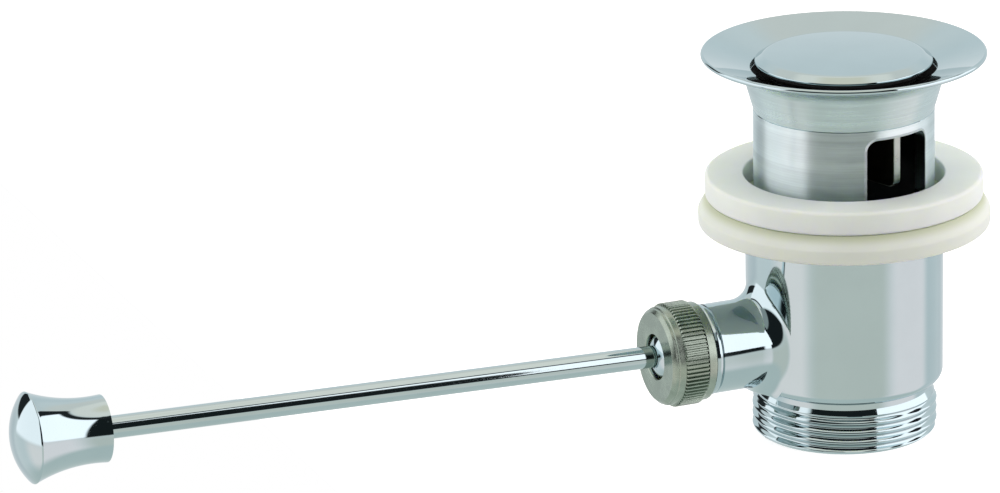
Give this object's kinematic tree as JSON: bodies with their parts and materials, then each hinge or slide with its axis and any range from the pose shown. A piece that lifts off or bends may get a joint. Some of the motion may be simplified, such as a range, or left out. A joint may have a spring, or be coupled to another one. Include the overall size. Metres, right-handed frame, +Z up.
{
  "type": "pop up basin waste",
  "caption": "Chromed basin drain with a dished flange, a lifting plug, clamping washers, a threaded outlet and a side lever on a ball joint that raises and lowers the plug.",
  "frame": {"origin": "on the drain's axis, in the plane where the flange's rim sits on the basin", "axes": "+Z up out of the drain along its axis, -X out along the lever"},
  "size_m": [0.2301, 0.0658, 0.0888],
  "materials": {
    "chrome": "polished chrome plate on brass",
    "satin_nickel": "turned satin nickel plate on brass, polished on the flange's top",
    "matt_nickel": "matt nickel plate on brass",
    "plain_brass": "turned brass, dulled nickel plate",
    "steel": "zinc plated steel",
    "chromed_steel": "polished chrome plate on steel",
    "black_rubber": "smooth black rubber",
    "white_washer": "soft white polyethylene",
    "ivory_washer": "soft ivory polyethylene",
    "seat_plastic": "white low-friction plastic"
  },
  "bodies": {
    "root": {"flange_tail": "satin_nickel", "waste_body": "chrome", "inner_ball_seat": "seat_plastic", "outer_ball_seat": "seat_plastic"},
    "lever": {"lever_rod": "chromed_steel", "lever_knob": "chrome", "pivot_ball": "chrome"},
    "plug": {"plug_cap": "chrome", "plug_seal": "black_rubber", "plug_guide": "plain_brass", "adjusting_screw": "steel", "lock_nut": "plain_brass"},
    "gland_nut": {"gland_nut": "matt_nickel"},
    "lower_washer": {"lower_washer": "ivory_washer"},
    "upper_washer": {"upper_washer": "white_washer"}
  },
  "joints": [
    {"name": "lever_tilt", "type": "hinge", "parent": "root", "child": "lever", "pos_m": [-0.0397, 0, -0.0643], "axis": [0, -1, 0], "range_deg": [-3.15, 11.15]},
    {"name": "plug_lift", "type": "slide", "parent": "root", "child": "plug", "axis": [0, 0, 1], "range_m": [-0.00225, 0.0079]},
    {"name": "gland_nut_turn", "type": "hinge", "parent": "root", "child": "gland_nut", "pos_m": [-0.0408, 0, -0.0643], "axis": [1, 0, 0], "range_deg": [-45, 45]},
    {"name": "lower_washer_slide", "type": "slide", "parent": "root", "child": "lower_washer", "axis": [0, 0, 1], "range_m": [0, 0.01]},
    {"name": "upper_washer_slide", "type": "slide", "parent": "lower_washer", "child": "upper_washer", "axis": [0, 0, 1], "range_m": [0, 0.01]}
  ],
  "couplings": [
    {"joint": "plug_lift", "follows": "lever_tilt", "m_per_rad": 0.04}
  ]
}
